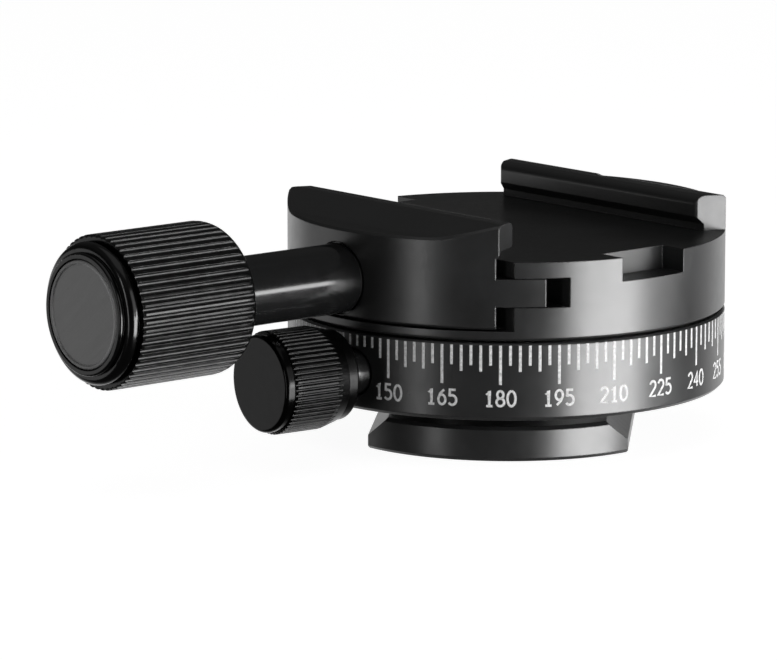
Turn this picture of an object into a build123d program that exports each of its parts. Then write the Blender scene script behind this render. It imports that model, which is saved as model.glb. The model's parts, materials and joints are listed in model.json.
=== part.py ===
from build123d import *
import math
import os

# Panoramic tripod head: a round quick-release clamp that pans on a scale ring.
# Millimetres. Origin: centre of the underside of the dovetail foot, on the pan axis, +Z up.
# The clamp knob points along -X and the camera-plate channel runs along Y.

# ---------------------------------------------------------------- driving dimensions
# Dovetail foot
FOOT_R = 26.6             # radius of the round foot
FOOT_HALF_WIDTH = 19.0    # half of the 38 mm quick-release dovetail
FOOT_LAND = 2.0           # height of the vertical land below the 45 degree flanks
FOOT_H = 5.1              # height of the dovetail
NECK_R = 21.0             # neck between foot and scale ring
NECK_H = 2.1
FOOT_ANGLE = 45.0         # direction of the dovetail seen from above
FOOT_EDGE = 0.5           # chamfer of the round foot's edges
FOOT_SIDE_EDGE = 0.25     # chamfer of the dovetail's lower edges

# Threaded bushing for a 3/8 inch tripod screw
TRIPOD_HOLE_R = 4.0
BUSHING_R = 6.0
BUSHING_FLANGE_R = 8.0
BUSHING_FLANGE_H = 1.5
BUSHING_SINK = 0.2        # how far the bushing's flange stays below the top of the neck

# Foot screws
FOOT_SCREW_R = 1.5
FOOT_SCREW_ACROSS = 4.5   # half the screw spacing across the dovetail
FOOT_SCREW_ALONG = 18.2   # half the screw spacing along the dovetail
FOOT_SCREW_BITE = 4.8     # how deep each screw reaches into the scale ring
FOOT_SCREW_ROOM = 0.8     # drilled depth past each screw's end
FOOT_SCREW_HEAD_R = 2.9
FOOT_SCREW_HEAD_H = 1.5

# Scale ring
HEAD_R = 32.5             # outer radius of ring and clamp
RING_H = 11.3
RING_EDGE = 0.3
RING_LOW_EDGE = 0.5

# Pan bearing
SPINDLE_R = 12.0
RUN = 0.05                # radial running clearance and end play
FLANGE_R = 15.8           # retaining flange under the scale ring's web
FLANGE_H = 1.6
FLANGE_FOOT_GAP = 0.25
FLANGE_SIDE_GAP = 0.6     # room round the flange in the ring's recess
LOWER_WASHER_H = 0.8
UPPER_WASHER_H = 1.2
UPPER_WASHER_IN_R = 15.0
UPPER_WASHER_OUT_R = 28.0
JOINT_GAP = 0.35          # visible gap between scale ring and clamp
SPINDLE_BORE_R = 4.5      # clears a long tripod screw
SPIGOT_R = 9.8
SPIGOT_H = 1.2
SPINDLE_SCREW_R = 1.25
SPINDLE_SCREW_PCD_R = 7.6
SPINDLE_SCREW_HEAD_R = 2.3
SPINDLE_SCREW_HEAD_H = 1.3
SPINDLE_SCREW_BITE = 3.1  # how deep each screw reaches into the clamp body
SPINDLE_SCREW_ROOM = 0.5  # drilled depth past each screw's end
SPINDLE_SCREW_COUNT = 4

# Clamp body
BODY_H = 14.55            # underside to the rim of the jaw tops
SKIRT_H = 1.35            # full disc left under the movable jaw
CHANNEL_DEPTH = 3.2       # rim of the jaw tops to channel floor
BODY_EDGE = 0.35

# Dovetail channel for a 38 mm camera plate
PLATE_HALF_WIDTH = 19.0
PLATE_SLACK = 0.15
PLATE_LAND = 1.0
LIP_OVER = 1.15           # how far each lip reaches over the plate
CREST_H = 2.1             # crest of each jaw over its rim
CREST_X = 22.0            # outer end of the flat crest
CREST_ROUND = 5.0
RAMP_X = 27.8             # here the top starts to rise towards the crest
RAMP_ROUND = 5.0
LIP_NOSE_ROUND = 1.4
LIP_END = 21.8            # half length of the straight lip
LIP_END_SLOPE = 0.43      # run along the channel for each mm of lip that is cut away
LIP_ROUND = 0.5

# Stop-pin notches at both ends of the channel
NOTCH_HALF_WIDTH = 5.95
NOTCH_DEPTH = 3.4
NOTCH_LENGTH = 5.0

# Movable jaw
JAW_T = 10.15             # from the jaw's inner wall to its round back
JAW_EDGE = 0.4            # chamfer of the jaw's and the tongues' upright edges
JAW_STOP_GAP = 0.25       # what is left of the slit when the jaw is fully closed
JAW_FLOOR_GAP = 0.25      # gap over the body's skirt
JAW_SHELF = 1.6           # height of the lip's underside over the channel floor
JAW_SHELF_EDGE = 0.8
TONGUE_L = 5.75           # how far each guide tongue stands out of the jaw
TONGUE_LOW = 3.3          # tongue's underside over the jaw's underside
TONGUE_H = 4.0
TONGUE_Y = 21.2           # each tongue's inner side, from the middle of the channel
TONGUE_FIT = 0.12
TONGUE_ROOM = 2.8         # pocket length left past each tongue's end
JAW_CLOSE = 1.5           # travel inward from rest
JAW_OPEN = 3.0            # travel outward from rest

# Clamp screw line
CLAMP_Z = 26.0            # height of the clamp screw's axis
SCREW_R = 3.0
SCREW_PITCH = 1.0
SCREW_FIT = 0.05
JAW_BORE_R = 3.2
SCREW_BITE = 19.6         # how far the screw reaches into the body
SCREW_TIP_ROOM = 1.0
WASHER_R = 5.0
WASHER_H = 0.6
SPOT_DEPTH = 0.8          # flat sunk into the jaw's round side for the washer
SPOT_FIT = 0.35
SHAFT_R = 5.1
SHAFT_L = 22.55           # from the thrust washer to the knob's back
SHAFT_IN_KNOB = 4.0
GUIDE_PIN_R = 2.0
GUIDE_PIN_Y = 9.6
GUIDE_PIN_IN_JAW = 6.0
GUIDE_PIN_REACH = 12.0    # how far each pin reaches into the body
GUIDE_PIN_ROOM = 1.0      # drilled depth past each pin's end with the jaw closed
SPRING_Y = 14.9
SPRING_R = 1.9            # to the middle of the wire
SPRING_WIRE_R = 0.35
SPRING_TURNS = 6
SPRING_POCKET_R = 2.6
SPRING_POCKET_BODY = 6.0
SPRING_POCKET_JAW = 3.0

# Clamp knob
KNOB_L = 23.65
KNOB_R = 11.0
KNOB_BACK_ROUND = 3.0     # rounding of the knurled grip towards the shaft
KNOB_FRONT_ROUND = 0.4
KNOB_FLUTES = 58
KNOB_FLUTE_R = 0.42
KNOB_GROOVE_W = 0.6      # groove between the grip and the front band
KNOB_GROOVE_R = 9.6
KNOB_BAND_W = 1.3
KNOB_BAND_R = 10.1
KNOB_BAND_ROUND = 1.1
KNOB_LIP_W = 0.7          # raised lip round the face disc
KNOB_LIP_R = 8.7
KNOB_LIP_ROUND = 0.35
DISC_R = 7.85
DISC_H = 1.2
DISC_SINK = 0.05
DISC_BEVEL = 0.25
DISC_RIM = 0.4            # flat rim round the disc's shallow recess
DISC_RECESS = 0.12
HEAD_SCREW_R = 5.0        # head of the clamp screw under the disc
HEAD_SCREW_H = 4.0
HEAD_POCKET_FIT = 0.3
HEX_R = 2.5
HEX_DEPTH = 2.0

# Pan lock
LOCK_Z = 12.65
LOCK_OFFSET = 5.9         # how far the lock's axis passes beside the pan axis
LOCK_TURN = 5.0           # angle between the lock's axis and the clamp screw's
LOCK_SCREW_R = 2.0
LOCK_FIT = 0.05
PAD_L = 3.0
PAD_CLEARANCE = 0.1
LOCK_SPOT_DEPTH = 2.6     # bore sunk into the ring for the lock's neck
LOCK_SPOT_FIT = 0.3
LOCK_NECK_GAP = 0.3
LOCK_NECK_L = 4.9
LOCK_NECK_R = 3.3
LOCK_SHOULDER_R = 6.6     # smooth shoulder behind the knurled grip
LOCK_SHOULDER_L = 2.0
LOCK_SHOULDER_ROUND = 0.5
LOCK_GRIP_L = 9.6
LOCK_GRIP_BACK_R = 6.9
LOCK_GRIP_TAPER = 2.4
LOCK_KNOB_R = 7.5
LOCK_GRIP_EDGE = 0.25
LOCK_FACE_R = 7.1         # smooth band round the face
LOCK_FACE_L = 1.45
LOCK_FACE_ROUND = 0.6
LOCK_SCREW_COVER = 2.0    # solid face left in front of the lock screw
LOCK_FLUTES = 60
LOCK_FLUTE_R = 0.24
INSERT_R = 3.4            # brass insert that the lock screw runs in
INSERT_L = 6.0
INSERT_SINK = 0.6

# Bubble level in the fixed jaw
LEVEL_INSET = 7.1         # from the clamp's round side to the level's centre
LEVEL_R = 5.2
LEVEL_H = 4.6
LEVEL_WALL = 0.7
LEVEL_FLOOR = 0.8
LEVEL_WINDOW = 1.1
LEVEL_BUBBLE_R = 1.9
LEVEL_BUBBLE_H = 0.45
SEAT = 0.02               # assembly clearance round pieces that are glued or screwed home
EDGE_SEARCH = 0.01        # tolerance when an edge is looked up by its place

# Countersunk screws, as shares of their own head
HEAD_LAND = 0.15          # cylindrical land of the head
HEAD_SOCKET = 0.5         # corner radius of the hexagon socket
HEAD_SOCKET_DEPTH = 0.8

# ---------------------------------------------------------------- levels that follow
FOOT_TOP = FOOT_H + NECK_H
WAIST = FOOT_HALF_WIDTH - (FOOT_H - FOOT_LAND)
FLANGE_BOTTOM = FOOT_TOP + FLANGE_FOOT_GAP
FLANGE_TOP = FLANGE_BOTTOM + FLANGE_H
WEB_BOTTOM = FLANGE_TOP + RUN + LOWER_WASHER_H
RING_TOP = FOOT_TOP + RING_H
BODY_BOTTOM = RING_TOP + JOINT_GAP
UPPER_WASHER_BOTTOM = BODY_BOTTOM - RUN - UPPER_WASHER_H
SKIRT_TOP = BODY_BOTTOM + SKIRT_H
BODY_TOP = BODY_BOTTOM + BODY_H
CHANNEL_Z = BODY_TOP - CHANNEL_DEPTH
JAW_BOTTOM = SKIRT_TOP + JAW_FLOOR_GAP
JAW_WALL_X = HEAD_R - JAW_T
SPLIT_X = JAW_WALL_X - JAW_CLOSE - JAW_STOP_GAP
TONGUE_END_X = JAW_WALL_X - TONGUE_L
POCKET_END_X = TONGUE_END_X - TONGUE_ROOM
TONGUE_Z = JAW_BOTTOM + TONGUE_LOW
WALL_X = PLATE_HALF_WIDTH + PLATE_SLACK
FLANK_Z = CHANNEL_Z + PLATE_LAND
LIP_X = WALL_X - LIP_OVER
LIP_Z = FLANK_Z + LIP_OVER
CREST_Z = BODY_TOP + CREST_H
JAW_TOP_ROUNDS = [(0, LIP_NOSE_ROUND), (1, CREST_ROUND), (2, RAMP_ROUND)]
SHELF_Z = CHANNEL_Z + JAW_SHELF
SHELF_X = WALL_X - (SHELF_Z - FLANK_Z)
BORE_R = SPINDLE_R + RUN
RECESS_R = FLANGE_R + FLANGE_SIDE_GAP
FOOT_SCREW_L = FOOT_TOP + FOOT_SCREW_BITE
SPINDLE_SCREW_L = BODY_BOTTOM + SPINDLE_SCREW_BITE - FLANGE_BOTTOM
SCREW_TIP_X = SPLIT_X - SCREW_BITE
SPOT_X = HEAD_R - SPOT_DEPTH
WASHER_X = SPOT_X + WASHER_H
SHAFT_X = WASHER_X + RUN
KNOB_BACK_X = SHAFT_X + SHAFT_L
KNOB_FRONT_X = KNOB_BACK_X + KNOB_L
DISC_FRONT_X = KNOB_FRONT_X - DISC_SINK
DISC_BACK_X = DISC_FRONT_X - DISC_H
HEAD_SEAT_X = DISC_BACK_X - HEAD_SCREW_H - SEAT
PAD_SIDE = max(LOCK_OFFSET - LOCK_SCREW_R, 0)
PAD_X = math.sqrt(SPINDLE_R ** 2 - PAD_SIDE ** 2) + PAD_CLEARANCE
LOCK_SPOT_X = HEAD_R - LOCK_SPOT_DEPTH
INSERT_X = LOCK_SPOT_X - INSERT_SINK
LOCK_NECK_X = LOCK_SPOT_X + LOCK_NECK_GAP
LOCK_KNOB_X = LOCK_NECK_X + LOCK_NECK_L
LOCK_GRIP_X = LOCK_KNOB_X + LOCK_SHOULDER_L
LOCK_BAND_X = LOCK_GRIP_X + LOCK_GRIP_L
LOCK_FRONT_X = LOCK_BAND_X + LOCK_FACE_L
LEVEL_X = HEAD_R - LEVEL_INSET
LEVEL_INNER_R = LEVEL_R - LEVEL_WALL
LEVEL_Z = BODY_TOP - LEVEL_H

os.makedirs("parts", exist_ok=True)


# ---------------------------------------------------------------- helpers
def disc(radius, low, high, x=0.0, y=0.0):
    """Upright cylinder between two heights."""
    return Pos(x, y, (low + high) / 2) * Cylinder(radius, high - low)


def tube(outer, inner, low, high, x=0.0, y=0.0):
    """Upright ring between two heights."""
    return disc(outer, low, high, x, y) - disc(inner, low - 1, high + 1, x, y)


def block(x_low, x_high, y_low, y_high, z_low, z_high):
    """Box between two corners."""
    size = (x_high - x_low, y_high - y_low, z_high - z_low)
    centre = ((x_high + x_low) / 2, (y_high + y_low) / 2, (z_high + z_low) / 2)
    return Pos(*centre) * Box(*size)


def outline_face(points, rounds=()):
    """Face inside a closed outline; rounds lists (point number, radius) of rounded corners."""
    face = make_face(Polyline(*points, close=True))
    for number, radius in rounds:
        corner = face.vertices().sort_by_distance(points[number])[0]
        face = fillet(corner, radius)
    return face


def turned(points, rounds=()):
    """Solid of revolution round Z from (radius, height) points."""
    return revolve(outline_face([(r, 0, z) for r, z in points], rounds), Axis.Z)


def break_rim(shape):
    """Chamfer the upper edges of the clamp's round side."""
    edges = [
        edge for edge in shape.edges()
        if edge.geom_type != GeomType.LINE and edge.center().Z > BODY_TOP - EDGE_SEARCH
        and math.hypot(edge.center().X, edge.center().Y) > HEAD_R - EDGE_SEARCH
    ]
    return chamfer(edges, BODY_EDGE)


def break_corners(shape, places, size):
    """Chamfer the upright edges that stand at the given (x, y) places."""
    edges = [
        edge for edge in shape.edges().filter_by(Axis.Z)
        if any(math.dist((edge.center().X, edge.center().Y), place) < size for place in places)
    ]
    return chamfer(edges, size)


def sideways(shape, height, y=0.0):
    """Lay a shape made along +Z so that it points along -X at the given height."""
    return Pos(0, y, height) * Rot(0, -90, 0) * shape


def rod(radius, near, far, height, y=0.0):
    """Cylinder along -X from distance near to distance far from the pan axis."""
    return sideways(disc(radius, near, far), height, y)


def lock_line(shape):
    """Lay a shape made along +Z onto the pan lock's axis, which passes beside the pan axis."""
    return Rot(0, 0, -LOCK_TURN) * sideways(shape, LOCK_Z, -LOCK_OFFSET)


def round_the_axis(count, radius, first_angle):
    """Places on a circle round the pan axis."""
    step = 360.0 / count
    angles = [math.radians(first_angle + i * step) for i in range(count)]
    return [(radius * math.cos(a), radius * math.sin(a)) for a in angles]


def channel_prism(points, half_length, rounds=()):
    """Prism along Y from (x, z) points."""
    face = outline_face([(x, -half_length, z) for x, z in points], rounds)
    return extrude(face, amount=2 * half_length, dir=(0, 1, 0))


def flutes(count, radius, depth_radius, low, high):
    """Round grooves along Z, set in a circle."""
    step = 2 * math.pi / count
    cuts = [
        disc(depth_radius, low, high, radius * math.cos(i * step), radius * math.sin(i * step))
        for i in range(count)
    ]
    return Compound(children=cuts)


def countersunk(radius, head_radius, head_height, length):
    """Countersunk screw pointing up from z 0, with a hexagon socket."""
    land = head_height * HEAD_LAND
    outline = [
        (0, 0), (head_radius, 0), (head_radius, land), (radius, head_height),
        (radius, length - radius / 2), (radius / 2, length), (0, length),
    ]
    socket = RegularPolygon(head_radius * HEAD_SOCKET, 6)
    return turned(outline) - extrude(socket, amount=head_height * HEAD_SOCKET_DEPTH)


def countersink(radius, head_radius, head_height, length):
    """Space for a countersunk screw."""
    land = head_height * HEAD_LAND
    return turned([
        (0, -1), (head_radius + SEAT, -1), (head_radius + SEAT, land),
        (radius + SEAT, head_height), (radius + SEAT, length), (0, length),
    ])


def save(node, shape):
    """Write one node; several solids make one group."""
    solids = shape.solids()
    result = solids[0] if len(solids) == 1 else Compound(children=list(solids))
    result.label = node
    export_step(result, f"parts/{node}.step")


# ---------------------------------------------------------------- base
def foot_screw_places():
    """Screws lie in a rectangle that is turned with the dovetail."""
    turn = math.radians(FOOT_ANGLE)
    places = []
    for along in (-FOOT_SCREW_ALONG, FOOT_SCREW_ALONG):
        for across in (-FOOT_SCREW_ACROSS, FOOT_SCREW_ACROSS):
            x = along * math.cos(turn) - across * math.sin(turn)
            y = along * math.sin(turn) + across * math.cos(turn)
            places.append((x, y))
    return places


def dovetail_foot():
    round_foot = turned([
        (0, 0), (FOOT_R - FOOT_EDGE, 0), (FOOT_R, FOOT_EDGE), (FOOT_R, FOOT_H - FOOT_EDGE),
        (FOOT_R - FOOT_EDGE, FOOT_H), (NECK_R, FOOT_H), (NECK_R, FOOT_TOP), (0, FOOT_TOP),
    ])
    half = [
        (FOOT_HALF_WIDTH - FOOT_SIDE_EDGE, 0), (FOOT_HALF_WIDTH, FOOT_SIDE_EDGE),
        (FOOT_HALF_WIDTH, FOOT_LAND), (WAIST, FOOT_H), (WAIST, FOOT_TOP),
    ]
    outline = half + [(-y, z) for y, z in reversed(half)]
    face = outline_face([(-FOOT_R, y, z) for y, z in outline])
    foot = round_foot & (Rot(0, 0, FOOT_ANGLE) * extrude(face, amount=2 * FOOT_R, dir=(1, 0, 0)))
    foot -= disc(BUSHING_R + SEAT, -1, FOOT_TOP + 1)
    flange_seat = FOOT_TOP - BUSHING_SINK - BUSHING_FLANGE_H
    foot -= disc(BUSHING_FLANGE_R + SEAT, flange_seat, FOOT_TOP + 1)
    hole = countersink(FOOT_SCREW_R, FOOT_SCREW_HEAD_R, FOOT_SCREW_HEAD_H, FOOT_TOP + 1)
    for x, y in foot_screw_places():
        foot -= Pos(x, y, 0) * hole
    return foot


def tripod_bushing():
    top = FOOT_TOP - BUSHING_SINK
    return turned([
        (TRIPOD_HOLE_R, 0), (BUSHING_R, 0), (BUSHING_R, top - BUSHING_FLANGE_H),
        (BUSHING_FLANGE_R, top - BUSHING_FLANGE_H), (BUSHING_FLANGE_R, top), (TRIPOD_HOLE_R, top),
    ])


def foot_screws():
    screw = countersunk(FOOT_SCREW_R, FOOT_SCREW_HEAD_R, FOOT_SCREW_HEAD_H, FOOT_SCREW_L)
    return Compound(children=[Pos(x, y, 0) * screw for x, y in foot_screw_places()])


def scale_ring():
    washer_room = UPPER_WASHER_OUT_R + SEAT
    ring = turned([
        (RECESS_R, FOOT_TOP), (HEAD_R - RING_LOW_EDGE, FOOT_TOP), (HEAD_R, FOOT_TOP + RING_LOW_EDGE),
        (HEAD_R, RING_TOP - RING_EDGE), (HEAD_R - RING_EDGE, RING_TOP),
        (washer_room, RING_TOP), (washer_room, UPPER_WASHER_BOTTOM),
        (BORE_R, UPPER_WASHER_BOTTOM), (BORE_R, WEB_BOTTOM), (RECESS_R, WEB_BOTTOM),
    ])
    for x, y in foot_screw_places():
        ring -= disc(FOOT_SCREW_R + SEAT, FOOT_TOP - 1, FOOT_SCREW_L + FOOT_SCREW_ROOM, x, y)
    ring -= lock_line(disc(LOCK_SCREW_R + LOCK_FIT, 0, HEAD_R + 1))
    ring -= lock_line(disc(INSERT_R + SEAT, INSERT_X - INSERT_L, HEAD_R + 1))
    ring -= lock_line(disc(LOCK_NECK_R + LOCK_SPOT_FIT, LOCK_SPOT_X, HEAD_R + 1))
    return ring


def pan_lock_insert():
    return lock_line(tube(INSERT_R, LOCK_SCREW_R + LOCK_FIT, INSERT_X - INSERT_L, INSERT_X))


def upper_friction_washer():
    top = UPPER_WASHER_BOTTOM + UPPER_WASHER_H
    return tube(UPPER_WASHER_OUT_R, UPPER_WASHER_IN_R, UPPER_WASHER_BOTTOM, top)


def lower_friction_washer():
    return tube(FLANGE_R, BORE_R, WEB_BOTTOM - LOWER_WASHER_H, WEB_BOTTOM)


# ---------------------------------------------------------------- rotor
def spindle_screw_places():
    return round_the_axis(SPINDLE_SCREW_COUNT, SPINDLE_SCREW_PCD_R, 45.0)


def pan_spindle():
    spindle = turned([
        (SPINDLE_BORE_R, FLANGE_TOP), (SPINDLE_R, FLANGE_TOP), (SPINDLE_R, BODY_BOTTOM),
        (SPIGOT_R, BODY_BOTTOM), (SPIGOT_R, BODY_BOTTOM + SPIGOT_H),
        (SPINDLE_BORE_R, BODY_BOTTOM + SPIGOT_H),
    ])
    for x, y in spindle_screw_places():
        spindle -= disc(SPINDLE_SCREW_R + SEAT, FLANGE_TOP - 1, BODY_TOP, x, y)
    return spindle


def retaining_flange():
    flange = tube(FLANGE_R, SPINDLE_BORE_R, FLANGE_BOTTOM, FLANGE_TOP)
    hole = countersink(SPINDLE_SCREW_R, SPINDLE_SCREW_HEAD_R, SPINDLE_SCREW_HEAD_H, FLANGE_H + 1)
    for x, y in spindle_screw_places():
        flange -= Pos(x, y, FLANGE_BOTTOM) * hole
    return flange


def spindle_screws():
    screw = countersunk(
        SPINDLE_SCREW_R, SPINDLE_SCREW_HEAD_R, SPINDLE_SCREW_HEAD_H, SPINDLE_SCREW_L
    )
    places = spindle_screw_places()
    return Compound(children=[Pos(x, y, FLANGE_BOTTOM) * screw for x, y in places])


def round_blank(low, high):
    """Full disc of the clamp with broken edges."""
    return turned([
        (0, low), (HEAD_R - BODY_EDGE, low), (HEAD_R, low + BODY_EDGE),
        (HEAD_R, high - BODY_EDGE), (HEAD_R - BODY_EDGE, high), (0, high),
    ])


def lip_plan(low, high):
    """Plan shape that a jaw keeps above the channel floor, for the jaw on the -X side."""
    run = (HEAD_R - LIP_X) * LIP_END_SLOPE
    corners = [
        (-LIP_X, -LIP_END), (-LIP_X, LIP_END), (-HEAD_R, LIP_END + run), (-HEAD_R, -LIP_END - run)
    ]
    plan = outline_face(corners, [(0, LIP_ROUND), (1, LIP_ROUND)])
    return extrude(Pos(0, 0, low) * plan, amount=high - low, dir=(0, 0, 1))


def corner_y(x):
    """Where an upright plane at x meets the round side of the clamp."""
    return math.sqrt(HEAD_R ** 2 - x ** 2)


def end_pocket(side):
    """Pocket for one guide tongue at one end of the channel."""
    y_low, y_high = sorted((side * (TONGUE_Y - TONGUE_FIT), side * (HEAD_R + 1)))
    return block(
        -SPLIT_X - 1, -POCKET_END_X, y_low, y_high,
        TONGUE_Z - TONGUE_FIT, TONGUE_Z + TONGUE_H + TONGUE_FIT,
    )


def clamp_body():
    beyond = HEAD_R + 1
    section = [
        (LIP_X, CREST_Z), (CREST_X, CREST_Z), (RAMP_X, BODY_TOP), (beyond, BODY_TOP),
        (beyond, BODY_BOTTOM - 1), (-beyond, BODY_BOTTOM - 1), (-beyond, CHANNEL_Z),
        (WALL_X, CHANNEL_Z), (WALL_X, FLANK_Z), (LIP_X, LIP_Z),
    ]
    blank = round_blank(BODY_BOTTOM, CREST_Z + 1)
    body = break_rim(blank & channel_prism(section, beyond, JAW_TOP_ROUNDS))
    above_floor = block(0, beyond, -beyond, beyond, CHANNEL_Z, CREST_Z + 1)
    body -= above_floor - mirror(lip_plan(CHANNEL_Z - 1, CREST_Z + 2), Plane.YZ)
    body -= block(-beyond, -SPLIT_X, -beyond, beyond, SKIRT_TOP, BODY_TOP + 1)
    notch = block(
        -NOTCH_HALF_WIDTH, NOTCH_HALF_WIDTH, HEAD_R - NOTCH_LENGTH, beyond,
        CHANNEL_Z - NOTCH_DEPTH, CHANNEL_Z + 1,
    )
    body -= notch + mirror(notch, Plane.XZ)
    pin_hole_end = SPLIT_X - GUIDE_PIN_REACH - JAW_CLOSE - GUIDE_PIN_ROOM
    for side in (-1, 1):
        body -= end_pocket(side)
        body -= rod(GUIDE_PIN_R + RUN, pin_hole_end, SPLIT_X + 1, CLAMP_Z, side * GUIDE_PIN_Y)
        body -= rod(
            SPRING_POCKET_R, SPLIT_X - SPRING_POCKET_BODY, SPLIT_X + 1, CLAMP_Z, side * SPRING_Y
        )
    screw_hole_end = SCREW_TIP_X - JAW_CLOSE - SCREW_TIP_ROOM
    body -= rod(SCREW_R + SCREW_FIT, screw_hole_end, SPLIT_X + 1, CLAMP_Z)
    body -= disc(SPIGOT_R + SEAT, BODY_BOTTOM - 1, BODY_BOTTOM + SPIGOT_H)
    screw_hole_top = BODY_BOTTOM + SPINDLE_SCREW_BITE + SPINDLE_SCREW_ROOM
    for x, y in spindle_screw_places():
        body -= disc(SPINDLE_SCREW_R + SEAT, BODY_BOTTOM, screw_hole_top, x, y)
    body -= disc(LEVEL_R + SEAT, LEVEL_Z, CREST_Z + 1, LEVEL_X)
    return body


def level_cup():
    cup = disc(LEVEL_R, LEVEL_Z, BODY_TOP, LEVEL_X)
    return cup - disc(LEVEL_INNER_R, LEVEL_Z + LEVEL_FLOOR, BODY_TOP + 1, LEVEL_X)


def level_window():
    return disc(LEVEL_INNER_R - SEAT, BODY_TOP - LEVEL_WINDOW, BODY_TOP, LEVEL_X)


def level_fluid():
    top = BODY_TOP - LEVEL_WINDOW
    fluid = disc(LEVEL_INNER_R - SEAT, LEVEL_Z + LEVEL_FLOOR, top, LEVEL_X)
    return fluid - disc(LEVEL_BUBBLE_R, top - LEVEL_BUBBLE_H, top + 1, LEVEL_X)


# ---------------------------------------------------------------- movable jaw
def movable_jaw():
    beyond = HEAD_R + 1
    section = [
        (-LIP_X, CREST_Z), (-CREST_X, CREST_Z), (-RAMP_X, BODY_TOP), (-beyond, BODY_TOP),
        (-beyond, JAW_BOTTOM - 1), (-JAW_WALL_X, JAW_BOTTOM - 1),
        (-JAW_WALL_X, SHELF_Z - JAW_SHELF_EDGE), (-JAW_WALL_X + JAW_SHELF_EDGE, SHELF_Z),
        (-SHELF_X, SHELF_Z), (-LIP_X, LIP_Z),
    ]
    blank = round_blank(JAW_BOTTOM, CREST_Z + 1)
    jaw = break_rim(blank & channel_prism(section, beyond, JAW_TOP_ROUNDS))
    wall_y = corner_y(JAW_WALL_X)
    jaw = break_corners(jaw, [(-JAW_WALL_X, -wall_y), (-JAW_WALL_X, wall_y)], JAW_EDGE)
    low_part = block(-beyond, -JAW_WALL_X, -beyond, beyond, JAW_BOTTOM - 1, CREST_Z + 1)
    jaw &= low_part + lip_plan(CHANNEL_Z, CREST_Z + 1)
    tongue_blank = disc(HEAD_R, TONGUE_Z, TONGUE_Z + TONGUE_H)
    tongue = tongue_blank & block(
        -JAW_WALL_X - 1, -TONGUE_END_X, TONGUE_Y, beyond, TONGUE_Z, TONGUE_Z + TONGUE_H
    )
    tongue = break_corners(tongue, [(-TONGUE_END_X, corner_y(TONGUE_END_X))], JAW_EDGE)
    jaw += tongue
    jaw += mirror(tongue, Plane.XZ)
    for side in (-1, 1):
        jaw -= rod(
            GUIDE_PIN_R + SEAT, JAW_WALL_X - 1, JAW_WALL_X + GUIDE_PIN_IN_JAW,
            CLAMP_Z, side * GUIDE_PIN_Y,
        )
        jaw -= rod(
            SPRING_POCKET_R, JAW_WALL_X - 1, JAW_WALL_X + SPRING_POCKET_JAW,
            CLAMP_Z, side * SPRING_Y,
        )
    jaw -= rod(JAW_BORE_R, JAW_WALL_X - 1, beyond, CLAMP_Z)
    jaw -= rod(WASHER_R + SPOT_FIT, SPOT_X, beyond, CLAMP_Z)
    return jaw


def jaw_guide_pins():
    far = JAW_WALL_X + GUIDE_PIN_IN_JAW
    pins = [
        rod(GUIDE_PIN_R, SPLIT_X - GUIDE_PIN_REACH, far, CLAMP_Z, side * GUIDE_PIN_Y)
        for side in (-1, 1)
    ]
    return Compound(children=pins)


def jaw_springs():
    near = SPLIT_X - SPRING_POCKET_BODY + SPRING_WIRE_R + SEAT
    far = JAW_WALL_X + SPRING_POCKET_JAW - SPRING_WIRE_R - SEAT
    path = Helix((far - near) / SPRING_TURNS, far - near, SPRING_R)
    start = Plane(path @ 0, z_dir=path % 0)
    coil = sweep(start * Circle(SPRING_WIRE_R), path)
    springs = [
        sideways(Pos(0, 0, near) * coil, CLAMP_Z, side * SPRING_Y) for side in (-1, 1)
    ]
    return Compound(children=springs)


def thrust_washer():
    washer = rod(WASHER_R, SPOT_X, WASHER_X, CLAMP_Z)
    return washer - rod(JAW_BORE_R, SPOT_X - 1, WASHER_X + 1, CLAMP_Z)


# ---------------------------------------------------------------- clamp knob
def clamp_screw():
    shank = disc(SCREW_R, SCREW_TIP_X, HEAD_SEAT_X)
    head_top = HEAD_SEAT_X + HEAD_SCREW_H
    head = disc(HEAD_SCREW_R, HEAD_SEAT_X, head_top)
    hexagon = Pos(0, 0, head_top - HEX_DEPTH) * RegularPolygon(HEX_R, 6)
    return sideways(shank + head - extrude(hexagon, amount=HEX_DEPTH), CLAMP_Z)


def clamp_shaft():
    shaft = tube(SHAFT_R, SCREW_R + SEAT, SHAFT_X, KNOB_BACK_X + SHAFT_IN_KNOB)
    return sideways(shaft, CLAMP_Z)


def clamp_knob():
    lip_start = KNOB_FRONT_X - KNOB_LIP_W
    band_start = lip_start - KNOB_BAND_W
    groove_start = band_start - KNOB_GROOVE_W
    outline = [
        (0, KNOB_BACK_X), (KNOB_R, KNOB_BACK_X), (KNOB_R, groove_start),
        (KNOB_GROOVE_R, groove_start), (KNOB_GROOVE_R, band_start), (KNOB_BAND_R, band_start),
        (KNOB_BAND_R, lip_start), (KNOB_LIP_R, lip_start), (KNOB_LIP_R, KNOB_FRONT_X),
        (0, KNOB_FRONT_X),
    ]
    knob = turned(outline, [
        (1, KNOB_BACK_ROUND), (2, KNOB_FRONT_ROUND), (6, KNOB_BAND_ROUND), (8, KNOB_LIP_ROUND)
    ])
    knob -= disc(SHAFT_R + SEAT, KNOB_BACK_X - 1, KNOB_BACK_X + SHAFT_IN_KNOB)
    knob -= disc(SCREW_R + SEAT, KNOB_BACK_X - 1, KNOB_FRONT_X)
    knob -= disc(HEAD_SCREW_R + HEAD_POCKET_FIT, HEAD_SEAT_X, KNOB_FRONT_X)
    knob -= disc(DISC_R + SEAT, DISC_BACK_X, KNOB_FRONT_X + 1)
    knob -= flutes(KNOB_FLUTES, KNOB_R, KNOB_FLUTE_R, KNOB_BACK_X - 1, groove_start + KNOB_FLUTE_R)
    return sideways(knob, CLAMP_Z)


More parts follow.
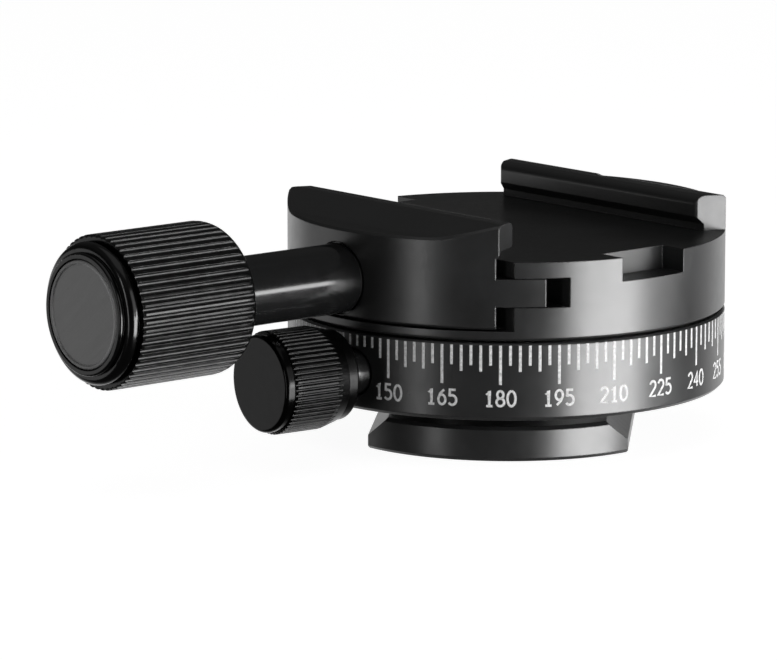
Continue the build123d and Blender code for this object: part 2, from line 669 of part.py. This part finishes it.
def knob_face_disc():
    recess_r = DISC_R - DISC_BEVEL - DISC_RIM
    plate = turned([
        (0, DISC_BACK_X), (DISC_R, DISC_BACK_X), (DISC_R, DISC_FRONT_X - DISC_BEVEL),
        (DISC_R - DISC_BEVEL, DISC_FRONT_X), (recess_r, DISC_FRONT_X),
        (recess_r - DISC_RECESS, DISC_FRONT_X - DISC_RECESS), (0, DISC_FRONT_X - DISC_RECESS),
    ])
    return sideways(plate, CLAMP_Z)


# ---------------------------------------------------------------- pan lock
def brake_pad():
    return lock_line(disc(LOCK_SCREW_R, PAD_X, PAD_X + PAD_L))


def pan_lock_screw():
    return lock_line(disc(LOCK_SCREW_R, PAD_X + PAD_L + RUN, LOCK_FRONT_X - LOCK_SCREW_COVER))


def pan_lock_hub():
    return lock_line(tube(LOCK_NECK_R, LOCK_SCREW_R + SEAT, LOCK_NECK_X, LOCK_KNOB_X))


def pan_lock_knob():
    outline = [
        (0, LOCK_KNOB_X), (LOCK_SHOULDER_R, LOCK_KNOB_X), (LOCK_SHOULDER_R, LOCK_GRIP_X),
        (LOCK_GRIP_BACK_R, LOCK_GRIP_X), (LOCK_KNOB_R, LOCK_GRIP_X + LOCK_GRIP_TAPER),
        (LOCK_KNOB_R, LOCK_BAND_X - LOCK_GRIP_EDGE), (LOCK_KNOB_R - LOCK_GRIP_EDGE, LOCK_BAND_X),
        (LOCK_FACE_R, LOCK_BAND_X), (LOCK_FACE_R, LOCK_FRONT_X), (0, LOCK_FRONT_X),
    ]
    knob = turned(outline, [(1, LOCK_SHOULDER_ROUND), (8, LOCK_FACE_ROUND)])
    knob -= disc(LOCK_SCREW_R + SEAT, LOCK_KNOB_X - 1, LOCK_FRONT_X - LOCK_SCREW_COVER)
    knob -= flutes(LOCK_FLUTES, LOCK_KNOB_R, LOCK_FLUTE_R, LOCK_GRIP_X - 1, LOCK_BAND_X + LOCK_FLUTE_R)
    return lock_line(knob)


# ---------------------------------------------------------------- nodes
save("dovetail_foot", dovetail_foot())
save("tripod_bushing", tripod_bushing())
save("foot_screws", foot_screws())
save("scale_ring", scale_ring())
save("pan_lock_insert", pan_lock_insert())
save("upper_friction_washer", upper_friction_washer())
save("lower_friction_washer", lower_friction_washer())

save("pan_spindle", pan_spindle())
save("retaining_flange", retaining_flange())
save("spindle_screws", spindle_screws())
save("clamp_body", clamp_body())
save("level_cup", level_cup())
save("level_window", level_window())
save("level_fluid", level_fluid())

save("movable_jaw", movable_jaw())
save("jaw_guide_pins", jaw_guide_pins())
save("jaw_springs", jaw_springs())
save("thrust_washer", thrust_washer())

save("clamp_screw", clamp_screw())
save("clamp_shaft", clamp_shaft())
save("clamp_knob", clamp_knob())
save("knob_face_disc", knob_face_disc())

save("brake_pad", brake_pad())
save("pan_lock_screw", pan_lock_screw())
save("pan_lock_hub", pan_lock_hub())
save("pan_lock_knob", pan_lock_knob())
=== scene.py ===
import json
import math

import bpy
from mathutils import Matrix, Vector


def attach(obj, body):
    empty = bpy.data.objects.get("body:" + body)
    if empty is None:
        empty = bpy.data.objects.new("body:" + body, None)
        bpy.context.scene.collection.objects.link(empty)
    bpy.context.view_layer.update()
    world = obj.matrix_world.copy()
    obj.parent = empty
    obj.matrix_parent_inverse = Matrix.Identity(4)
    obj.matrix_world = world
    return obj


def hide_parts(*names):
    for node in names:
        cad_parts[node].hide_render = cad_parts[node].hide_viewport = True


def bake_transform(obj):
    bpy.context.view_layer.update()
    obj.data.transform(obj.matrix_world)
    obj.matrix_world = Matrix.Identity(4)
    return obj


# Panoramic tripod head. Blender works in metres in the CAD's frame; the sizes here are millimetres,
# and MM turns them into metres.
MM = 0.001

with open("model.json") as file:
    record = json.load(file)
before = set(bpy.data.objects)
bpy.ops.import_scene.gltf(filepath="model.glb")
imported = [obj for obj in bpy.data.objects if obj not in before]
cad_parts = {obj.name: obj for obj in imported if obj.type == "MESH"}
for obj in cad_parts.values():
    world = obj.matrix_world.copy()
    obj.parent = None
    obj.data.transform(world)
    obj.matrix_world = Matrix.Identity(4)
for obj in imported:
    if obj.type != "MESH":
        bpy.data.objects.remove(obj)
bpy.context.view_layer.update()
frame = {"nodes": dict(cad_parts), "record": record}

# ---------------------------------------------------------------- sizes shared with the CAD
HEAD_R = 32.5             # outer radius of the scale ring
RING_TOP = 18.5
KNOB_GRIP_FAR = 75.95     # where the clamp knob's knurl ends, from the pan axis
LOCK_GRIP_FAR = 46.7      # where the pan lock's knurl ends

# ---------------------------------------------------------------- scale
SCALE_ZERO = 47.15        # direction of the zero mark seen from above, in degrees
TICK_STEP = 2.5           # degrees between marks
TICK_MIDDLE_STEP = 5
TICK_LONG_STEP = 15
TICK_TOP = 0.3            # from the ring's upper edge to the marks
TICK_SHORT = 2.9          # lengths of the marks
TICK_MIDDLE = 3.8
TICK_LONG = 5.7
TICK_WIDTH = 0.42
LABEL_STEP = 15           # degrees between numbers
LABEL_TOP = 6.9           # from the ring's upper edge to the numbers
DIGIT_H = 2.2
DIGIT_W = 1.15
DIGIT_PITCH = 1.6
DIGIT_STROKE = 0.36
PAINT_SINK = 0.05         # the paint starts inside the ring
PAINT_PROUD = 0.012
LOCK_BORE_ANGLE = 185.5   # where the pan lock enters the ring
LOCK_BORE_HALF = 8.0      # half width of its bore and of the space kept clear round it, in degrees
LOCK_BORE_TOP = 16.6      # height that the marks over the bore stop at
HIDDEN_LABELS = (135,)    # the number whose place the bore takes

# ---------------------------------------------------------------- camera and light
CAMERA_AT = (-495.0, -559.1, 153.3)
CAMERA_LENS = 236.0
SENSOR = 36.0
AIM_AT = (-22.9, 0.0, 17.2)
CAMERA_CLIP = 10.0
CAMERA_SIDE = 226.5       # direction from the pan axis to the camera seen from above, in degrees
FORWARD = (0.6884, 0.7254, 0.0)   # the opposite direction
WORLD_DIM = 0.035         # the world's strength in front of the object
WORLD_DOME = 0.07         # its strength overhead
FLOOR_HALF = 4000.0
FLOOR_DROP = 0.2          # the floor lies a little below the foot, so that the two don't flicker
LAMP_AIM = (0.0, 0.0, 20.0)

# Lamps: degrees from the camera's side, distance from the pan axis and height over the floor, width
# and height of the lamp, brightness. Metres here.
LAMPS = {
    "key": (55.0, 0.70, -0.15, (0.50, 0.39), 8.5),
    "key_top": (55.0, 0.70, 0.28, (0.50, 0.46), 0.9),
    "strip": (-42.6, 0.70, 0.10, (0.09, 0.60), 2.9),
    "kicker": (82.0, 0.70, 0.03, (0.45, 0.12), 9.0),
    "side": (-100.0, 0.70, -0.10, (0.35, 0.35), 0.62),
    "top": (0.0, 0.05, 1.00, (1.00, 1.00), 0.25),
}


# ---------------------------------------------------------------- helpers: nodes
NOISE_LOW, NOISE_HIGH = 0.3, 0.7
EDGE_SHARP, EDGE_FLAT = 0.86, 0.995   # how far a rounded normal agrees with the flat one


class Graph:
    """Small wrapper that adds and links shader nodes."""

    def __init__(self, tree):
        self.tree = tree
        tree.nodes.clear()

    def node(self, kind, inputs=None, **settings):
        new = self.tree.nodes.new(kind)
        for key, value in settings.items():
            setattr(new, key, value)
        for key, value in (inputs or {}).items():
            self.put(new.inputs[key], value)
        return new

    def put(self, socket, value):
        if isinstance(value, bpy.types.NodeSocket):
            self.tree.links.new(value, socket)
        else:
            socket.default_value = value

    def math(self, operation, first, second=0.0, clamp=False):
        inputs = {0: first, 1: second}
        node = self.node("ShaderNodeMath", inputs, operation=operation, use_clamp=clamp)
        return node.outputs[0]

    def noise(self, vector, scale, detail=3.0, roughness=0.5):
        values = {"Vector": vector, "Scale": scale, "Detail": detail, "Roughness": roughness}
        return self.node("ShaderNodeTexNoise", values).outputs["Fac"]

    def span(self, value, low, high, new_low, new_high):
        inputs = {"Value": value, "From Min": low, "From Max": high,
                  "To Min": new_low, "To Max": new_high}
        return self.node("ShaderNodeMapRange", inputs).outputs[0]

    def spread(self, noise, new_low, new_high):
        """Stretches the part of its range that a noise mostly stays in."""
        return self.span(noise, NOISE_LOW, NOISE_HIGH, new_low, new_high)

    def blend(self, factor, first, second):
        node = self.node("ShaderNodeMix", data_type="RGBA")
        self.put(node.inputs["Factor"], factor)
        self.put(node.inputs["A"], first)
        self.put(node.inputs["B"], second)
        return node.outputs["Result"]

    def bump(self, height, strength, distance, normal=None):
        values = {"Height": height, "Strength": strength, "Distance": distance}
        if normal is not None:
            values["Normal"] = normal
        return self.node("ShaderNodeBump", values).outputs[0]


def grey(level, tint=0.0):
    """Neutral colour; a positive tint makes it a little bluer."""
    return (level * (1 - tint), level, level * (1 + tint), 1.0)


def millimetres(graph, stretch=(1.0, 1.0, 1.0)):
    """Object coordinates in millimetres."""
    place = graph.node("ShaderNodeTexCoord").outputs["Object"]
    scale = tuple(s / MM for s in stretch)
    return graph.node("ShaderNodeMapping", {"Vector": place, "Scale": scale}).outputs[0]


def edge_mask(graph, radius):
    """One along sharp edges, zero on open faces, and the rounded normal."""
    rounded = graph.node("ShaderNodeBevel", {"Radius": radius * MM}, samples=6).outputs[0]
    flat = graph.node("ShaderNodeNewGeometry").outputs["Normal"]
    dot = graph.node("ShaderNodeVectorMath", {0: rounded, 1: flat}, operation="DOT_PRODUCT")
    return graph.span(dot.outputs["Value"], EDGE_FLAT, EDGE_SHARP, 0.0, 1.0), rounded


def finish_material(name, settings):
    material = bpy.data.materials.new(name)
    material.use_nodes = True
    graph = Graph(material.node_tree)
    shader = graph.node("ShaderNodeBsdfPrincipled")
    out = graph.node("ShaderNodeOutputMaterial")
    graph.tree.links.new(shader.outputs[0], out.inputs["Surface"])
    for key, value in settings.items():
        shader.inputs[key].default_value = value
    return material, graph, shader


# ---------------------------------------------------------------- materials
DISC_GRAIN_ANGLE = 38.0   # direction of the brushed grain, in degrees


def anodised(name, level, roughness, grain, grain_strength, ior, wear=0.06):
    """Black anodised aluminium: blasted grain, faint handling marks, lighter edges."""
    material, graph, shader = finish_material(name, {"Metallic": 0.0, "IOR": ior})
    place = millimetres(graph)
    cloud = graph.noise(place, 0.11, 4.0)
    smear = graph.noise(place, 0.6, 6.0, 0.62)
    speck = graph.noise(place, grain, 2.0)
    edge, rounded = edge_mask(graph, 0.22)
    patchy = graph.math("MULTIPLY", edge, graph.span(smear, 0.35, 0.65, 0.25, 1.0))
    base = graph.blend(graph.spread(cloud, 0.0, 1.0), grey(level * 0.85), grey(level * 1.2, 0.03))
    base = graph.blend(graph.math("MULTIPLY", patchy, 0.8, clamp=True), base, grey(wear))
    graph.put(shader.inputs["Base Color"], base)
    rough = graph.math("ADD", graph.spread(cloud, -0.02, 0.02), graph.spread(smear, -0.02, 0.025))
    rough = graph.math("ADD", rough, roughness)
    polish = graph.math("MULTIPLY", edge, -0.06)
    graph.put(shader.inputs["Roughness"], graph.math("ADD", rough, polish))
    graph.put(shader.inputs["Normal"], graph.bump(speck, grain_strength, 0.02 * MM, rounded))
    return material


def knob_finish(name, grip_far, grip_sheen, front_sheen):
    """Black anodised knob: matt knurled grip behind a glossy turned front end."""
    material, graph, shader = finish_material(name, {"Metallic": 1.0})
    place = millimetres(graph)
    along = graph.node("ShaderNodeSeparateXYZ", {"Vector": place}).outputs["X"]
    front = graph.span(along, -grip_far - 0.05, -grip_far + 0.05, 1.0, 0.0)
    smear = graph.noise(place, 0.6, 6.0, 0.62)
    speck = graph.noise(place, 9.0, 2.0)
    edge, rounded = edge_mask(graph, 0.12)
    patchy = graph.math("MULTIPLY", edge, graph.span(smear, 0.35, 0.65, 0.1, 1.0))
    uneven = graph.spread(smear, 0.0, 1.0)
    grip = graph.blend(uneven, grey(grip_sheen * 0.75), grey(grip_sheen * 1.25))
    grip = graph.blend(patchy, grip, grey(grip_sheen * 2.5))
    turned = graph.blend(uneven, grey(front_sheen * 0.85), grey(front_sheen))
    graph.put(shader.inputs["Base Color"], graph.blend(front, grip, turned))
    rough = graph.span(front, 0.0, 1.0, 0.30, 0.17)
    rough = graph.math("ADD", rough, graph.spread(smear, -0.02, 0.03))
    graph.put(shader.inputs["Roughness"], rough)
    graph.put(shader.inputs["Normal"], graph.bump(speck, 0.12, 0.02 * MM, rounded))
    return material


def metal(name, colour, roughness, stretch, scale, strength):
    """Bare metal with drawn or turned grain."""
    material, graph, shader = finish_material(name, {"Metallic": 1.0})
    grain = graph.noise(millimetres(graph, stretch), scale, 4.0, 0.6)
    stain = graph.noise(millimetres(graph), 0.4, 4.0)
    edge, rounded = edge_mask(graph, 0.12)
    dull = tuple(c * 0.78 for c in colour)
    bright = tuple(min(c * 1.15, 1.0) for c in colour)
    tone = graph.blend(graph.spread(stain, 0.0, 1.0), (*dull, 1.0), (*colour, 1.0))
    graph.put(shader.inputs["Base Color"], graph.blend(edge, tone, (*bright, 1.0)))
    graph.put(shader.inputs["Roughness"], graph.spread(grain, roughness * 0.85, roughness * 1.2))
    graph.put(shader.inputs["Normal"], graph.bump(grain, strength, 0.01 * MM, rounded))
    return material


def plastic(name, colour, roughness, scale, strength):
    """Moulded plastic with a fine texture."""
    material, graph, shader = finish_material(name, {"IOR": 1.5})
    place = millimetres(graph)
    fine = graph.noise(place, scale, 3.0)
    broad = graph.noise(place, 0.25, 3.0)
    dull = tuple(c * 0.9 for c in colour)
    graph.put(shader.inputs["Base Color"],
              graph.blend(graph.spread(broad, 0.0, 1.0), (*dull, 1.0), (*colour, 1.0)))
    graph.put(shader.inputs["Roughness"], graph.spread(fine, roughness * 0.9, roughness * 1.1))
    graph.put(shader.inputs["Normal"], graph.bump(fine, strength, 0.01 * MM))
    return material


def paint(name):
    """White paint worn thin in places."""
    material, graph, shader = finish_material(name, {"IOR": 1.5})
    place = millimetres(graph)
    worn = graph.noise(place, 2.2, 5.0, 0.6)
    fine = graph.noise(place, 9.0, 2.0)
    graph.put(shader.inputs["Base Color"],
              graph.blend(graph.span(worn, 0.3, 0.62, 0.0, 1.0), grey(0.55), grey(0.92)))
    graph.put(shader.inputs["Roughness"], graph.spread(fine, 0.42, 0.6))
    graph.put(shader.inputs["Normal"], graph.bump(fine, 0.3, 0.01 * MM))
    return material


def brushed_disc(name):
    """Dark grey disc with straight diagonal grain and a brighter turned rim."""
    material, graph, shader = finish_material(name, {"Metallic": 1.0})
    place = graph.node("ShaderNodeTexCoord").outputs["Object"]
    rotation = (math.radians(DISC_GRAIN_ANGLE), 0.0, 0.0)
    turn = graph.node("ShaderNodeMapping", {"Vector": place, "Rotation": rotation})
    stretched = graph.node(
        "ShaderNodeMapping", {"Vector": turn.outputs[0], "Scale": (1.0 / MM, 0.12 / MM, 5.0 / MM)}
    )
    grain = graph.noise(stretched.outputs[0], 1.0, 4.0, 0.6)
    edge, rounded = edge_mask(graph, 0.30)
    tone = graph.blend(graph.spread(grain, 0.0, 1.0), grey(0.19), grey(0.26))
    graph.put(shader.inputs["Base Color"], graph.blend(edge, tone, grey(0.58)))
    graph.put(shader.inputs["Roughness"], graph.spread(grain, 0.34, 0.48))
    graph.put(shader.inputs["Normal"], graph.bump(grain, 0.35, 0.012 * MM, rounded))
    return material


def clear(name, colour, roughness):
    """Window or fluid of the bubble level."""
    settings = {"Roughness": roughness, "IOR": 1.45, "Transmission Weight": 1.0}
    material, graph, shader = finish_material(name, settings)
    mist = graph.noise(millimetres(graph), 1.4, 3.0)
    pale = tuple(min(c * 1.06, 1.0) for c in colour)
    graph.put(shader.inputs["Base Color"],
              graph.blend(graph.spread(mist, 0.0, 1.0), (*colour, 1.0), (*pale, 1.0)))
    return material


ANODISE = anodised("black_anodise", 0.018, 0.31, 7.0, 0.30, 1.8)
KNOB = knob_finish("knob_black", KNOB_GRIP_FAR, 0.045, 0.06)
LOCK_KNOB = knob_finish("lock_knob_black", LOCK_GRIP_FAR, 0.018, 0.02)
SHAFT = anodised("shaft_black", 0.008, 0.15, 9.0, 0.03, 1.6, wear=0.03)
WHITE = paint("scale_paint")

LOOKS = {
    "black_anodise": ANODISE,
    "knob_black": KNOB,
    "shaft_black": SHAFT,
    "disc_grey": brushed_disc("disc_grey"),
    "screw_steel": metal("screw_steel", (0.05, 0.05, 0.055), 0.32, (1.0, 1.0, 1.0), 6.0, 0.2),
    "steel": metal("steel", (0.60, 0.60, 0.61), 0.26, (1.0, 1.0, 6.0), 3.0, 0.25),
    "spring_steel": metal("spring_steel", (0.62, 0.62, 0.63), 0.22, (6.0, 1.0, 1.0), 3.0, 0.2),
    "brass": metal("brass", (0.72, 0.50, 0.20), 0.28, (6.0, 1.0, 1.0), 3.0, 0.25),
    "nylon": plastic("nylon", (0.80, 0.79, 0.74), 0.5, 5.0, 0.2),
    "pom_black": plastic("pom_black", (0.02, 0.02, 0.02), 0.42, 5.0, 0.2),
    "level_metal": metal("level_metal", (0.55, 0.56, 0.58), 0.3, (1.0, 1.0, 5.0), 3.0, 0.2),
    "level_glass": clear("level_glass", (0.93, 0.96, 0.93), 0.02),
    "level_fluid": clear("level_fluid", (0.55, 0.82, 0.16), 0.0),
}

slots = {part["node"]: part["material_slot"] for part in frame["record"]["subparts"]}
for node in frame["nodes"]:
    cad = bpy.data.objects[node]
    for place in cad.material_slots:
        place.material = LOCK_KNOB if node == "pan_lock_knob" else LOOKS[slots[node]]


# ---------------------------------------------------------------- jaw springs
def stretching_springs():
    """Both coils between the body's pockets and the jaw's: a copy of the CAD's spring mesh, which
    stands in for the hidden CAD part.
    """
    coils = bpy.data.objects.new("stretching_springs", bpy.data.objects["jaw_springs"].data.copy())
    bpy.context.scene.collection.objects.link(coils)
    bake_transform(coils)
    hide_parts("jaw_springs")
    return coils


stretching_springs()


# ---------------------------------------------------------------- the scale's paint
def round_the_ring(angle, along, height, proud):
    """Point on the ring in metres: along is a distance round it, proud a distance out of it."""
    turn = math.radians(angle) + along / HEAD_R
    radius = HEAD_R + proud
    return (radius * math.cos(turn) * MM, radius * math.sin(turn) * MM, height * MM)


def add_stroke(verts, faces, angle, line, width):
    """Painted line through flat (along, height) points, as a closed thin solid on the ring."""
    half = width / 2
    shoulder = half * 0.75
    section = [(-half, -PAINT_SINK), (-half, 0.0), (-shoulder, PAINT_PROUD),
               (shoulder, PAINT_PROUD), (half, 0.0), (half, -PAINT_SINK)]
    first = len(verts)
    count = len(line)
    for i, (u, z) in enumerate(line):
        before = Vector(line[max(i - 1, 0)])
        after = Vector(line[min(i + 1, count - 1)])
        along = (after - before).normalized()
        spread = 1.0
        if 0 < i < count - 1:
            into = (Vector(line[i]) - before).normalized()
            spread = min(1.0 / max(along.dot(into), 0.5), 1.4)
        across = Vector((along.y, -along.x))
        for offset, proud in section:
            x = u + across.x * offset * spread
            y = z + across.y * offset * spread
            verts.append(round_the_ring(angle, x, y, proud))
    size = len(section)
    for i in range(count - 1):
        for k in range(size):
            a = first + i * size + k
            b = first + i * size + (k + 1) % size
            faces.append((a, b, b + size, a + size))
    faces.append(tuple(first + k for k in reversed(range(size))))
    last = first + (count - 1) * size
    faces.append(tuple(last + k for k in range(size)))


def arc(x, y, rx, ry, start, end, steps=10):
    """Points on an ellipse between two directions in degrees."""
    turns = [math.radians(start + (end - start) * i / steps) for i in range(steps + 1)]
    return [(x + rx * math.cos(t), y + ry * math.sin(t)) for t in turns]


# Single-line numbers in a box of one by one, y up
DIGITS = {
    "0": [arc(0.5, 0.5, 0.5, 0.5, 90, 450, 20)],
    "1": [[(0.15, 0.74), (0.52, 1.0), (0.52, 0.0)], [(0.12, 0.0), (0.92, 0.0)]],
    "2": [arc(0.5, 0.72, 0.46, 0.28, 165, -30, 10) + [(0.02, 0.0), (1.0, 0.0)]],
    "3": [arc(0.46, 0.75, 0.44, 0.25, 150, -90, 10), arc(0.46, 0.25, 0.52, 0.27, 90, -150, 10)],
    "4": [[(0.72, 0.0), (0.72, 1.0), (0.0, 0.3), (1.0, 0.3)]],
    "5": [[(0.9, 1.0), (0.16, 1.0), (0.1, 0.56)] + arc(0.44, 0.32, 0.52, 0.32, 120, -145, 12)],
    "6": [[(0.8, 0.98), (0.3, 0.72)] + arc(0.5, 0.32, 0.46, 0.32, 165, 525, 18)],
    "7": [[(0.02, 1.0), (0.98, 1.0), (0.36, 0.0)]],
    "8": [arc(0.5, 0.75, 0.38, 0.25, -90, 270, 16), arc(0.5, 0.26, 0.48, 0.26, 90, 450, 16)],
    "9": [[(0.2, 0.02), (0.7, 0.28)] + arc(0.5, 0.68, 0.46, 0.32, -15, 345, 18)],
}


def piece(name, verts, faces, material, body):
    mesh = bpy.data.meshes.new(name)
    mesh.from_pydata(verts, [], faces)
    mesh.validate()
    mesh.materials.append(material)
    made = bpy.data.objects.new(name, mesh)
    bpy.context.scene.collection.objects.link(made)
    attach(made, body)
    return made


def scale_marks():
    verts, faces = [], []
    top = RING_TOP - TICK_TOP
    for i in range(round(360 / TICK_STEP)):
        mark = i * TICK_STEP
        angle = SCALE_ZERO + mark
        if mark % TICK_LONG_STEP == 0:
            low = top - TICK_LONG
        elif mark % TICK_MIDDLE_STEP == 0:
            low = top - TICK_MIDDLE
        else:
            low = top - TICK_SHORT
        beside = abs((angle - LOCK_BORE_ANGLE + 180) % 360 - 180)
        if beside < LOCK_BORE_HALF:
            low = max(low, LOCK_BORE_TOP)
        add_stroke(verts, faces, angle, [(0.0, low), (0.0, top)], TICK_WIDTH)
    return piece("scale_marks", verts, faces, WHITE, "base")


def scale_numbers():
    verts, faces = [], []
    low = RING_TOP - LABEL_TOP - DIGIT_H
    for label in range(0, 360, LABEL_STEP):
        if label in HIDDEN_LABELS:
            continue
        text = str(label)
        width = DIGIT_PITCH * (len(text) - 1) + DIGIT_W
        for place, digit in enumerate(text):
            left = place * DIGIT_PITCH - width / 2
            for line in DIGITS[digit]:
                points = [(left + x * DIGIT_W, low + y * DIGIT_H) for x, y in line]
                add_stroke(verts, faces, SCALE_ZERO + label, points, DIGIT_STROKE)
    return piece("scale_numbers", verts, faces, WHITE, "base")


scale_marks()
scale_numbers()


# ---------------------------------------------------------------- stage, light and camera
def floor_material():
    """White to the camera with the object's shadow; the object mirrors what lies beyond it."""
    material = bpy.data.materials.new("studio_floor")
    material.use_nodes = True
    graph = Graph(material.node_tree)
    ray = graph.node("ShaderNodeLightPath").outputs
    plain = graph.node("ShaderNodeBsdfDiffuse", {"Color": grey(0.45)})
    shadowed = graph.node("ShaderNodeBsdfDiffuse", {"Color": grey(0.42)})
    glow = graph.node("ShaderNodeEmission", {"Color": grey(1.0), "Strength": 0.94})
    seen = graph.node("ShaderNodeAddShader", {0: shadowed.outputs[0], 1: glow.outputs[0]})
    solid = graph.node(
        "ShaderNodeMixShader", {0: ray["Is Camera Ray"], 1: plain.outputs[0], 2: seen.outputs[0]}
    )
    hollow = graph.node("ShaderNodeBsdfTransparent")
    through = graph.math("MAXIMUM", ray["Is Glossy Ray"], ray["Is Shadow Ray"])
    floor = graph.node(
        "ShaderNodeMixShader", {0: through, 1: solid.outputs[0], 2: hollow.outputs[0]}
    )
    graph.node("ShaderNodeOutputMaterial", {"Surface": floor.outputs[0]})
    return material


def studio_world():
    """White to the camera; dimmer in front of the object than behind it."""
    world = bpy.data.worlds.new("studio")
    bpy.context.scene.world = world
    world.use_nodes = True
    graph = Graph(world.node_tree)
    ray = graph.node("ShaderNodeLightPath").outputs
    side = graph.node("ShaderNodeTexCoord").outputs["Generated"]
    dot = graph.node("ShaderNodeVectorMath", {0: side, 1: FORWARD}, operation="DOT_PRODUCT")
    behind = graph.span(dot.outputs["Value"], 0.35, 0.8, 0.0, 1.0)
    rise = graph.node("ShaderNodeSeparateXYZ", {"Vector": side}).outputs["Z"]
    low = graph.span(rise, -0.02, 0.06, 1.0, 0.0)
    level = graph.span(graph.math("MULTIPLY", behind, low), 0.0, 1.0, WORLD_DIM, 1.0)
    level = graph.math("MAXIMUM", level, graph.span(rise, 0.32, 0.62, WORLD_DIM, WORLD_DOME))
    direct = graph.math("MAXIMUM", ray["Is Camera Ray"], ray["Is Transmission Ray"])
    strength = graph.math("MAXIMUM", direct, level)
    light = graph.node("ShaderNodeBackground", {"Color": grey(1.0), "Strength": strength})
    graph.node("ShaderNodeOutputWorld", {"Surface": light.outputs[0]})


def softbox(name, turn, distance, height, size, level):
    """Rectangular lamp; turn counts from the camera's side, level is its brightness."""
    angle = math.radians(CAMERA_SIDE + turn)
    lamp = bpy.data.lights.new(name, "AREA")
    lamp.shape = "RECTANGLE"
    lamp.size, lamp.size_y = size
    lamp.energy = level * math.pi * size[0] * size[1]
    made = bpy.data.objects.new(name, lamp)
    made.location = (distance * math.cos(angle), distance * math.sin(angle), height)
    aim = Vector(LAMP_AIM) * MM - made.location
    made.rotation_euler = aim.to_track_quat("-Z", "Y").to_euler()
    made.visible_camera = False
    bpy.context.scene.collection.objects.link(made)
    return made


def add_floor():
    half = FLOOR_HALF * MM
    mesh = bpy.data.meshes.new("floor")
    mesh.from_pydata([(-half, -half, 0), (half, -half, 0), (half, half, 0), (-half, half, 0)],
                     [], [(0, 1, 2, 3)])
    mesh.materials.append(floor_material())
    floor = bpy.data.objects.new("floor", mesh)
    floor.location.z = -FLOOR_DROP * MM
    bpy.context.scene.collection.objects.link(floor)


def add_camera():
    lens = bpy.data.cameras.new("camera")
    lens.lens = CAMERA_LENS
    lens.sensor_width = SENSOR
    lens.clip_start = CAMERA_CLIP * MM
    camera = bpy.data.objects.new("camera", lens)
    camera.location = Vector(CAMERA_AT) * MM
    aim = Vector(AIM_AT) * MM - camera.location
    camera.rotation_euler = aim.to_track_quat("-Z", "Y").to_euler()
    bpy.context.scene.collection.objects.link(camera)
    bpy.context.scene.camera = camera


add_floor()
studio_world()
for name, place in LAMPS.items():
    softbox(name, *place)
add_camera()
bpy.context.scene.view_settings.view_transform = "Standard"
